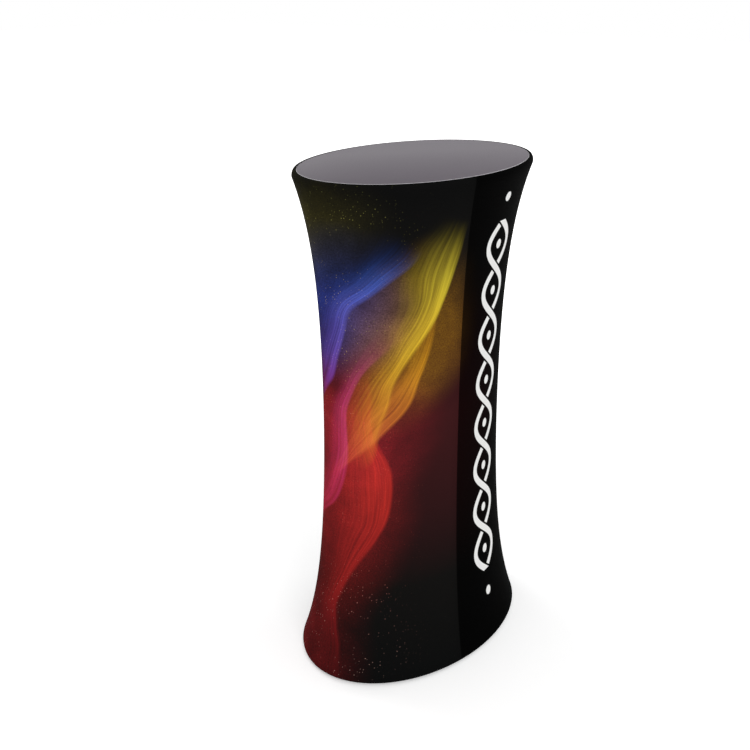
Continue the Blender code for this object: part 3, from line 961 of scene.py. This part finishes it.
def makeTooth():
    # one moulded tooth of the right hand row: a root on the tape and a wider head past the middle
    width, head = zipper["toothWidth"], zipper["toothHead"]
    size = (width, zipper["toothDeep"], zipper["toothPitch"] * zipper["toothTall"])
    tooth = addBox(size, (width / 2 - zipper["toothRoot"], 0, 0))
    pick(tooth, "FACE", facing(-1, 0, 0))
    for deep, tall in zipper["headShapes"]:
        extrude(-head / 2, 0, 0)
        bpy.ops.transform.resize(value=(1, deep, tall))
    insetFaces(tooth, facing(0, 1, 0), zipper["toothPanel"])
    deselectAll()
    return tooth


def makeZip():
    tooth = makeTooth()
    pitch, ends = zipper["toothPitch"], zipper["stopSize"][2] + zipper["clear"]
    low, high = cover["slotLow"] + ends, cover["slotHigh"] - ends
    proud = zipper["toothDeep"] / 2 - zipper["toothSunk"]
    for side, name, first in ((1, "right", 0.25), (-1, "left", 0.75)):
        tape = finishPiece(
            makeTape(side), f"woven_tape_{name}", "frame", "wovenTape",
            [f"zip_tape_{name}"],
        )
        turn = Matrix.Rotation(0 if side > 0 else math.pi, 4, "Y")
        places = [
            wallSeat(0, low + pitch * (n + first), proud) @ turn
            for n in range(int((high - low) / pitch))
        ]
        row = finishPiece(
            copiesOf(tooth, places), f"moulded_teeth_{name}", "frame",
            "mouldedTeeth", [f"zip_chain_{name}"],
        )
    bpy.data.objects.remove(tooth)
    stopIn = zipper["stopIn"]
    for name, z in (("bottom", cover["slotLow"] + stopIn), ("top", cover["slotHigh"] - stopIn)):
        stop = addBox(zipper["stopSize"])
        bevelEdges(stop, lambda edge: True, zipper["stopRound"], 3)
        insetFaces(stop, facing(0, 1, 0, least=0.98), zipper["stopPanel"])
        bakePlace(stop, wallSeat(0, z, -zipper["stopSunk"]))
        finishPiece(
            stop, f"moulded_{name}_stop", "frame", "mouldedTeeth",
            [f"zip_{name}_stop"],
        )


makeZip()
print("zip made")

slider = {
    "halfTravel": 0.2584,
    "proud": 0.0008,
    "length": 0.016,
    "halfWidth": 0.0043,
    "flangeFrom": 0.0031,
    "top": 0.0020,
    "gap": 0.0005,
    "reach": 0.0014,
    "round": 0.00035,
    "panel": (0.0006, 0.0002),  # inset and rise
    # height and width up the shield, as shares of its length and width
    "outline": ((-0.5, 0.80), (-0.42, 0.86), (-0.2, 0.9), (0.05, 0.93), (0.3, 1), (0.5, 0.90)),
    "wire": 0.0008,
    "bailHalf": 0.0029,
    "bailRise": 0.0044,
    "bailUp": 0.0032,
    "bailCorner": 0.0012,
    "bailSteps": 6,
    "bailSunk": 0.0002,
}


def sliderPlace():
    # at the top of its wide arc up the waisted back
    travel = slider["halfTravel"]
    waistDepth = fabricSize(waistHeight)[1]
    rise = fabricSize(waistHeight + travel)[1] - waistDepth
    radius = (travel ** 2 + rise ** 2) / (2 * rise)
    lean = math.asin(travel / radius)
    out = waistDepth + slider["proud"] + radius * (1 - math.cos(lean))
    return Matrix.Translation((0, out, waistHeight + travel)) @ Matrix.Rotation(-lean, 4, "X")


def makeSlider():
    # own X across, Y out of the cloth, Z up the zip
    half, length, gap = slider["halfWidth"], slider["length"], slider["gap"]
    thick, flange = slider["top"] - gap, slider["flangeFrom"]
    piece = addBox((2 * half, thick, length), (0, gap + thick / 2, 0))
    cuts = [((x, 0, 0), (1, 0, 0)) for x in (-flange, flange)]
    cuts += [((0, 0, z * length), (0, 0, 1)) for z, _ in slider["outline"][1:-1]]
    for place, normal in cuts:
        pick(piece, "FACE", lambda face: True)
        bpy.ops.mesh.bisect(plane_co=place, plane_no=normal)
    under, above = facing(0, -1, 0), facing(0, 1, 0)
    pick(piece, "FACE", lambda f: under(f) and abs(f.calc_center_median().x) > flange)
    extrude(0, -(gap + slider["reach"]), 0)
    for z, share in slider["outline"]:
        pick(
            piece, "VERT",
            lambda v: abs(v.co.z - z * length) < hair and abs(v.co.x) > half - hair,
        )
        bpy.ops.transform.resize(value=(share, 1, 1), center_override=(0, 0, 0))
    insetFaces(
        piece, lambda f: above(f) and abs(f.calc_center_median().x) < flange, slider["panel"]
    )
    deselectAll()
    applyModifier(
        piece, "BEVEL", width=slider["round"], segments=3, limit_method="ANGLE",
        angle_limit=math.radians(40),
    )
    bakePlace(piece, sliderPlace())
    finishPiece(piece, "shield_slider", "zip_slider", "gunmetalPlate", ["zip_slider"])


def makeBail():
    # bent wire arch that the pull tab hangs on, its feet sunk into the slider
    half, rise, corner = slider["bailHalf"], slider["bailRise"], slider["bailCorner"]
    points = [(-half, slider["top"] - slider["bailSunk"])]
    for step in range(slider["bailSteps"] + 1):
        turn = quarterTurn * step / slider["bailSteps"]
        points.append(
            (corner - half - corner * math.cos(turn), rise - corner + corner * math.sin(turn))
        )
    points += [(-x, y) for x, y in reversed(points)]
    curve = bpy.data.curves.new("wireBail", "CURVE")
    curve.dimensions = "3D"
    curve.bevel_depth, curve.bevel_resolution, curve.use_fill_caps = slider["wire"], 4, True
    spline = curve.splines.new("POLY")
    spline.points.add(len(points) - 1)
    for dot, (x, y) in zip(spline.points, points):
        dot.co = (x, y, slider["bailUp"], 1)
    piece = bpy.data.objects.new("wireBail", curve)
    bpy.context.scene.collection.objects.link(piece)
    activate(piece)
    bpy.ops.object.convert(target="MESH")
    piece = bakePlace(bpy.context.object, sliderPlace())
    finishPiece(piece, "wire_bail", "zip_slider", "gunmetalPlate", ["zip_bail"])


tab = {
    "width": 0.008,
    "length": 0.028,
    "thick": 0.0014,
    "neck": 0.0036,
    "lowRound": 0.0034,
    "highRound": 0.0018,
    "panel": ((0.0011, 0), (0.0002, -0.00025)),  # inset and depth, one after the other
    "slotSize": (0.0032, 0.0056),
    "slotUp": 0.0062,
    "slotRound": 0.0014,
    "stemFrom": 0.00105,
    "stemInto": 0.00085,
    "knuckle": 0.0021,
    "knuckleHalf": 0.0018,
    "bore": 0.0011,
}


def makePullTab():
    # flat cast tab with a knuckle round the bail, a sunk panel and a slot at its free end
    thick, length, neck = tab["thick"], tab["length"], tab["neck"]
    piece = addBox((tab["width"], thick, length - neck), (0, 0, -(length + neck) / 2))
    through = running(1, thick / 2)
    middle = -length / 2
    bevelEdges(piece, lambda e: through(e) and e.verts[0].co.z < middle, tab["lowRound"], 8)
    bevelEdges(piece, lambda e: through(e) and e.verts[0].co.z > middle, tab["highRound"], 5)
    for side in (1, -1):
        insetFaces(piece, facing(0, side, 0, least=0.98), *tab["panel"])
    wide, tall = tab["slotSize"]
    cutter = addBox((wide, thick * 3, tall), (0, 0, tab["slotUp"] - length))
    bevelEdges(cutter, running(1, thick), tab["slotRound"], 6)
    drill(piece, cutter)
    half, stemLow, stemHigh = tab["knuckleHalf"], -neck - tab["stemInto"], -tab["stemFrom"]
    weld(piece, addBox((2 * half, thick, stemHigh - stemLow), (0, 0, (stemLow + stemHigh) / 2)))
    weld(piece, addCylinder(tab["knuckle"], -half, half, 32, 0))
    drill(piece, addCylinder(tab["bore"], -2 * half, 2 * half, 24, 0))
    hung = sliderPlace() @ Vector((0, slider["bailRise"], slider["bailUp"]))
    bakePlace(piece, Matrix.Translation(hung))
    finishPiece(
        piece, "cast_pull_tab", "pull_tab", "gunmetalPlate", ["zip_pull_tab"]
    )


makeSlider()
makeBail()
makePullTab()
print("slider, bail and pull tab made")


# Frame inside the cover
corners = [f"{row}_{side}" for row in ("front", "rear") for side in ("left", "right")]


def axisOf(node):
    # the point on the floor under the node's middle
    low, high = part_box(node)
    middle = (low + high) / 2
    return Vector((middle.x, middle.y, 0))


def fromTube(node, corner="front_left"):
    # the node's box, measured from the middle of its tube
    tube = axisOf(f"upright_lower_{corner}")
    return (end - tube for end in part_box(f"{node}_{corner}"))


def makeSleeve(radius, bore, low, high, chamfer, sides):
    # a tube with its ends faced and broken
    piece = addCylinder(radius, low, high, sides)
    wall = (radius - bore) * math.cos(math.pi / sides)
    insetFaces(piece, lambda face: abs(face.normal.z) > 0.9, (wall, 0))
    bpy.ops.mesh.bridge_edge_loops()
    faceOutwards()
    for z in (low, high):
        bevelEdges(piece, rimAt(z), chamfer, 2)
    return piece


def setOut(
    master, name, node, finish, body="frame", over=None, lift=Matrix(), ends=corners
):
    # a copy of the master with its own mesh at each corner, over its own node or another one
    deselectAll()
    made = {}
    for end in ends:
        piece = bpy.data.objects.new(name, master.data.copy())
        piece.matrix_world = Matrix.Translation(axisOf(f"{over or node}_{end}")) @ lift
        made[end] = finishPiece(
            piece, f"{name}_{end}", body and body.format(end), finish,
            [f"{node}_{end}"] if node else [],
        )
    return made


tubes = {
    "sides": 40,
    "rowOut": 0.075,  # from the middle to the front tubes and to the rear ones
    # node, piece, finish, slot, radius, bore, chamfer
    "kinds": [
        ("upright_lower", "drawn_tube_lower", "anodisedAluminium", "anodised_tube",
         0.0125, 0.011, 0.0003),
        ("upright_upper", "drawn_tube_upper", "anodisedAluminium", "anodised_tube",
         0.0125, 0.011, 0.0003),
        ("spigot", "swaged_spigot", "millAluminium", "mill_aluminium", 0.0107, 0.0092, 0.0004),
    ],
    "buttonHole": 0.004,
    "buttonHeight": 0.525,
    "holeReach": 0.02,
}


def makeUprights():
    for node, name, finish, slotName, radius, bore, chamfer in tubes["kinds"]:
        low, high = fromTube(node)
        sleeve = makeSleeve(radius, bore, low.z, high.z, chamfer, tubes["sides"])
        if low.z < tubes["buttonHeight"] < high.z:
            at = (0, 0, tubes["buttonHeight"])
            drill(sleeve, addCylinder(tubes["buttonHole"], 0, tubes["holeReach"], 32, 1, at))
        setOut(sleeve, name, node, finish)
        bpy.data.objects.remove(sleeve)


button = {
    "radius": 0.0037,
    "dome": 0.0008,
    "flange": 0.005,
    "flangeThick": 0.001,
    "flangeRound": 0.0003,
    "sides": 40,
}


def makeButtons():
    # flanged pin, pressed from strip and domed at its tip
    low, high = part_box("snap_button_front_left")
    back, tip = low.y + tubes["rowOut"], high.y + tubes["rowOut"]
    sides, lift = button["sides"], Matrix.Translation((0, 0, (low.z + high.z) / 2))
    pin = addCylinder(button["radius"], back, tip, sides, 1)
    bevelEdges(pin, rimAt(tip, 1), button["dome"], 4)
    flange = addCylinder(button["flange"], back, back + button["flangeThick"], sides, 1)
    bevelEdges(flange, rimAt(back, 1), button["flangeRound"], 2)
    weld(pin, flange)
    setOut(
        pin, "pressed_button", "snap_button", "nickelPlate", "button_{}",
        "upright_lower", lift,
    )
    bpy.data.objects.remove(pin)


leafSpring = {"thick": 0.0005, "bendSteps": 16, "cornerRound": 0.0016}


def makeSprings():
    # strip folded to a U: its rear leg stays in the spigot, its front leg goes with the button
    low, high = fromTube("snap_spring")
    rear, front, thick = low.y, high.y, leafSpring["thick"]
    bend = low.z + (front - rear) / 2
    leg = high.z - bend
    strip = addBox((high.x - low.x, thick, leg), (0, rear + thick / 2, bend + leg / 2))
    pick(strip, "FACE", facing(0, 0, -1))
    bpy.ops.mesh.spin(
        steps=leafSpring["bendSteps"], angle=-math.pi, center=(0, (rear + front) / 2, bend),
        axis=(1, 0, 0),
    )
    extrude(0, 0, leg)
    faceOutwards()
    across = running(0, hair)
    bevelEdges(
        strip, lambda e: min(v.co.z for v in e.verts) > high.z - hair and not across(e),
        leafSpring["cornerRound"], 5,
    )
    made = setOut(
        strip, "folded_spring", "snap_spring", "springSteel", None,
        "upright_lower",
    )
    for corner, piece in made.items():
        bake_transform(piece)
    bpy.data.objects.remove(strip)


socket = {
    "flange": 0.030,
    "flangeThick": 0.003,
    "flangeRound": 0.0008,
    "cup": 0.0163,
    "bore": 0.0128,
    "cupLength": 0.032,
    "cupRound": 0.0005,
    "ribThick": 0.0024,
    "ribFrom": 0.0148,
    "ribReach": 0.0275,
    "ribHeight": 0.022,
    "ribToe": 0.002,
    "sunk": 0.0005,
    "screwRing": 0.0235,
    # radius, low, high, rise and spread of the countersunk head
    "screw": (0.0019, 0.0004, 0.0014, 0.0015, 2.05),
    "hole": (0.0022, -0.001, 0.0015, 0.0022, 2.3),
    "screwFace": (0.0004, 0.0001),  # inset and rise
    "slit": (0.0042, 0.0008, 0.0018),
}


def flared(radius, low, high, rise, spread):
    # a shank whose top is drawn up and widened; stays in edit mode
    made = addCylinder(radius, low, high, 24)
    pick(made, "FACE", facing(0, 0, 1))
    extrude(0, 0, rise)
    bpy.ops.transform.resize(value=(spread, spread, 1))
    return made


def makeSockets():
    thick, length, cup = socket["flangeThick"], socket["cupLength"], socket["cup"]
    master = addCylinder(socket["flange"], 0, thick, 64)
    bevelEdges(master, rimAt(thick), socket["flangeRound"], 3)
    pick(master, "FACE", lambda f: f.normal.z > 0.9 and f.calc_center_median().z > thick - hair)
    bpy.ops.mesh.inset(thickness=socket["flange"] - socket["flangeRound"] - cup)
    extrude(0, 0, length)
    bpy.ops.mesh.inset(thickness=cup - socket["bore"])
    extrude(0, 0, -length)
    bevelEdges(master, rimAt(thick + length), socket["cupRound"], 2)
    # four gussets between the flange and the cup, between the screws
    near, far, tall = socket["ribFrom"], socket["ribReach"], socket["ribHeight"]
    top = thick - socket["sunk"] + tall
    for index in range(4):
        rib = addBox((far - near, socket["ribThick"], tall), ((near + far) / 2, 0, top - tall / 2))
        pick(rib, "VERT", lambda vert: vert.co.x > far - hair and vert.co.z > top - hair)
        bpy.ops.transform.translate(value=(0, 0, socket["ribToe"] - tall))
        weld(master, bakePlace(rib, Matrix.Rotation(index * quarterTurn, 4, "Z")))
    # countersunk holes and their cross head screws
    screw = flared(*socket["screw"])
    inset, rise = socket["screwFace"]
    bpy.ops.mesh.inset(thickness=inset, depth=rise)
    for turn in (0, quarterTurn):
        drill(screw, addBox(socket["slit"], (0, 0, thick), turn))
    places = []
    for index in range(4):
        turn = (index + 0.5) * quarterTurn
        at = Vector((math.cos(turn), math.sin(turn), 0)) * socket["screwRing"]
        places.append(Matrix.Translation(at))
        drill(master, bakePlace(flared(*socket["hole"]), places[-1]))
    screws = copiesOf(screw, places)
    # those under the top board are turned over
    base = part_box("base_socket_front_left")[0].z
    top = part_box("top_socket_front_left")[1].z
    for level, lift in (
        ("base", Matrix.Translation((0, 0, base))),
        ("top", Matrix.Translation((0, 0, top)) @ Matrix.Rotation(math.pi, 4, "X")),
    ):
        node = f"{level}_socket"
        setOut(master, f"moulded_{node}", node, "mouldedNylon", lift=lift)
        setOut(
            screws, f"{level}_flange_screws", None, "zincPlate", over=node,
            lift=lift,
        )
    for done in (master, screw, screws):
        bpy.data.objects.remove(done)


collar = {
    "radius": 0.0178,
    "bore": 0.0128,
    "chamfer": 0.0006,
    "tapped": 0.0028,
    "tapReach": 0.03,
    "shank": 0.0025,
    "shankInto": 0.0004,
    "head": 0.005,
    "headFrom": 0.0181,
    "headRim": 0.0005,
    "knurls": 48,
    "knurl": (0.00012, -0.0002),  # inset and depth
    "keyRadius": 0.0017,
    "keyDepth": 0.0022,
    "keyPast": 0.001,
}


def makeCollars():
    low, high = fromTube("shelf_collar")
    ring = makeSleeve(collar["radius"], collar["bore"], low.z, high.z, collar["chamfer"], 48)
    middle = (0, 0, (low.z + high.z) / 2)
    drill(ring, addCylinder(collar["tapped"], 0, collar["tapReach"], 32, 1, middle))
    setOut(ring, "moulded_collar", "shelf_collar", "mouldedNylon")
    # thumb screw: plain shank, knurled head with a hexagon socket in its end
    first, last = (end.y for end in fromTube("collar_screw", "rear_left"))
    neck, knurls = collar["headFrom"], collar["knurls"]
    shank = addCylinder(collar["shank"], first, neck + collar["shankInto"], 32, 1)
    head = addCylinder(collar["head"], neck, last, knurls, 1)
    insetFaces(head, everyNth(2, knurls, (0, 2)), collar["knurl"], use_individual=True)
    insetFaces(head, facing(0, 1, 0), (collar["headRim"], 0))
    weld(head, shank)
    deep, past = collar["keyDepth"], collar["keyPast"]
    drill(head, addCylinder(collar["keyRadius"], last - deep, last + past, 6, 1))
    setOut(
        head, "thumb_screw", "collar_screw", "zincPlate", over="shelf_collar",
        lift=Matrix.Translation(middle),
    )
    for done in (ring, head):
        bpy.data.objects.remove(done)


# the foot's rings underneath, as (inset, depth) from the edge inwards
foot = {"round": 0.0009, "rings": ((0.003, 0), (0.0015, -0.0007), (0.004, 0), (0.0015, 0.0006))}
peg = {"round": 0.0005, "sides": 48, "flute": (0.00008, -0.00025), "play": 0.0003, "hole": 0.0043}


def makeFeet():
    low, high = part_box("foot_front_left")
    pad = addCylinder((high.x - low.x) / 2, low.z, high.z, 64)
    bevelEdges(pad, rimAt(low.z), foot["round"], 3)
    insetFaces(pad, lambda face: face.calc_center_median().z < low.z + hair, *foot["rings"])
    setOut(pad, "ringed_foot", "foot", "mouldedRubber")
    bpy.data.objects.remove(pad)


def makePegs():
    # fluted dowels glued into the tabletop
    low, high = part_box("tabletop_peg_left")
    dowel = addCylinder((high.x - low.x) / 2, low.z, high.z, peg["sides"])
    bevelEdges(dowel, rimAt(low.z), peg["round"], 2)
    insetFaces(dowel, everyNth(4, peg["sides"], (0, 1)), peg["flute"], use_individual=True)
    setOut(
        dowel, "fluted_peg", "tabletop_peg", "turnedBeech", "tabletop",
        ends=("left", "right"),
    )
    bpy.data.objects.remove(dowel)


boards = {
    "offset": 0.0015,
    "heel": 0.0084,
    "rounds": 6,
    "seatDepth": 0.0028,
    "floorRun": 0.0053,
    "shelfInset": 0.0052,
    "shelfHole": 0.0128,
    "drillPast": 0.002,
    "edging": 0.0008,
}


def makeBoards():
    offset, heel, steps = boards["offset"], boards["heel"], boards["rounds"]
    length, depth = form["rimHalfLength"], form["rimHalfDepth"]
    edge, crest, past = form["highEdge"], form["crest"], boards["drillPast"]
    turns = [quarterTurn * step / steps for step in range(steps + 1)]

    def inside(z, inset=offset):
        wide, deep = fabricSize(z)
        return wide - inset, deep - inset, z

    def bore(piece, node, radius, low, high, sides):
        hole = addCylinder(radius, low, high, sides)
        drill(piece, bakePlace(hole, Matrix.Translation(axisOf(node))))

    rows = []
    for turn in reversed(turns):
        across = heel - heel * math.cos(turn) + offset
        rows.append((length - across, depth - across, form["lowEdge"] - heel * math.sin(turn)))
    base = addOval(rows + [inside(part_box("base_board")[1].z)])
    finishPiece(
        base, "heeled_base_board", "frame", "blackMelamine", ["base_board"]
    )

    # the top board: a rounded rim and a sunk seat for the plate, with holes for its pegs
    rows = [inside(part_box("top_board")[0].z), (length - offset, depth - offset, edge)]
    endRun, sideRun = (form[key] - form["plateMargin"] for key in ("endInset", "sideInset"))
    for turn in turns[1:]:
        out = math.cos(turn)
        rows.append((
            length - endRun + (endRun - offset) * out,
            depth - sideRun + (sideRun - offset) * out,
            edge + (crest - edge - offset) * math.sin(turn),
        ))
    floor = form["topHem"] - boards["seatDepth"]
    for run, z in ((0, form["rollEdge"] - offset), (boards["floorRun"], floor)):
        rows.append((length - form["endInset"] - run, depth - form["sideInset"] - run, z))
    upper = addOval(rows)
    for node in ("tabletop_peg_left", "tabletop_peg_right"):
        bore(upper, node, peg["hole"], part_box(node)[0].z - peg["play"], floor + past, 32)
    finishPiece(upper, "seated_top_board", "frame", "blackMelamine", ["top_board"])

    low, high = (end.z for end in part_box("shelf"))
    wide, deep, _ = inside(waistHeight, boards["shelfInset"])
    thin = boards["edging"]
    shelf = addOval([
        (wide - thin, deep - thin, low), (wide, deep, low + thin), (wide, deep, high - thin),
        (wide - thin, deep - thin, high),
    ])
    for corner in corners:
        node = f"upright_lower_{corner}"
        bore(shelf, node, boards["shelfHole"], low - past, high + past, 48)
    finishPiece(shelf, "edged_shelf", "frame", "greyMelamine shelfEdging", ["shelf"])
    for face in shelf.data.polygons:
        face.material_index = 0 if abs(face.normal.z) > 0.99 else 1


for make in (
    makeUprights, makeButtons, makeSprings, makeSockets, makeCollars, makeFeet, makePegs,
    makeBoards,
):
    make()
    print(make.__name__, "done")


# The two hook bands keep their shape and get their finish
for node in ("top_hook_band", "base_hook_band"):
    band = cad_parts[node].data
    band.materials.clear()
    band.materials.append(materials["hookTape"])
print("carried-over nodes finished")


# Floor, sky and lamps
studio = {
    "floorSize": 40,
    "floorDrop": 0.0002,
    "floor": "#F2F2F2",
    "floorGlow": 0.34,
    "glowNear": 0.8,
    "glowFar": 2.4,
    "sky": 0.62,
    "lampSize": 2.4,
    "lamps": {  # place and power
        "keyLamp": ((-2.6, -3.0, 3.4), 62),
        "fillLamp": ((3.2, -1.6, 2.2), 26),
        "backLamp": ((0.6, 3.4, 2.8), 34),
    },
    "aim": (0, 0, 0.5),
}


def seenAs(node):
    # 1 where the camera looks straight, in a gloss or through clear stuff
    camera, glossy, through = node(
        "LightPath", out=("Is Camera Ray", "Is Glossy Ray", "Is Transmission Ray")
    )
    either = node("Math", camera, glossy, operation="MAXIMUM")
    return node("Math", either, through, operation="MAXIMUM")


def makeStudio():
    deselectAll()
    drop = (0, 0, -studio["floorDrop"])
    bpy.ops.mesh.primitive_plane_add(size=studio["floorSize"], location=drop)
    floor = bakePlace(bpy.context.object)
    floor.name = "studioFloor"
    # Matt white paint; it glows a little to the eye only, so that it runs into the white behind
    material, node, shader = startMaterial("studioPaint")
    place = node("TexCoord", out="Object")
    away = node("VectorMath", place, out="Value", operation="LENGTH")
    share = node(
        "MapRange", away, studio["glowNear"], studio["glowFar"], studio["floorGlow"], 1
    )
    feed(shader, {
        "Base Color": toLinear(studio["floor"]),
        "Roughness": 0.9,
        "Specular IOR Level": 0.0,
        "Emission Color": (1, 1, 1, 1),
        "Emission Strength": node("Math", seenAs(node), share, operation="MULTIPLY"),
    })
    floor.data.materials.append(material)

    world = bpy.data.worlds.new("studioSky")
    bpy.context.scene.world = world
    world.use_nodes = True
    node = partial(addNode, world.node_tree)
    power = node("MapRange", seenAs(node), 0, 1, studio["sky"], 1)
    feed(world.node_tree.nodes["Background"], {"Color": (1, 1, 1, 1), "Strength": power})

    for name, (place, power) in studio["lamps"].items():
        data = bpy.data.lights.new(name, "AREA")
        data.shape, data.size, data.energy = "DISK", studio["lampSize"], power
        made = bpy.data.objects.new(name, data)
        made.location = place
        aim = Vector(studio["aim"]) - Vector(place)
        made.rotation_euler = aim.to_track_quat("-Z", "Y").to_euler()
        bpy.context.scene.collection.objects.link(made)
    bpy.context.scene.view_settings.view_transform = "Standard"


makeStudio()
print("studio made")
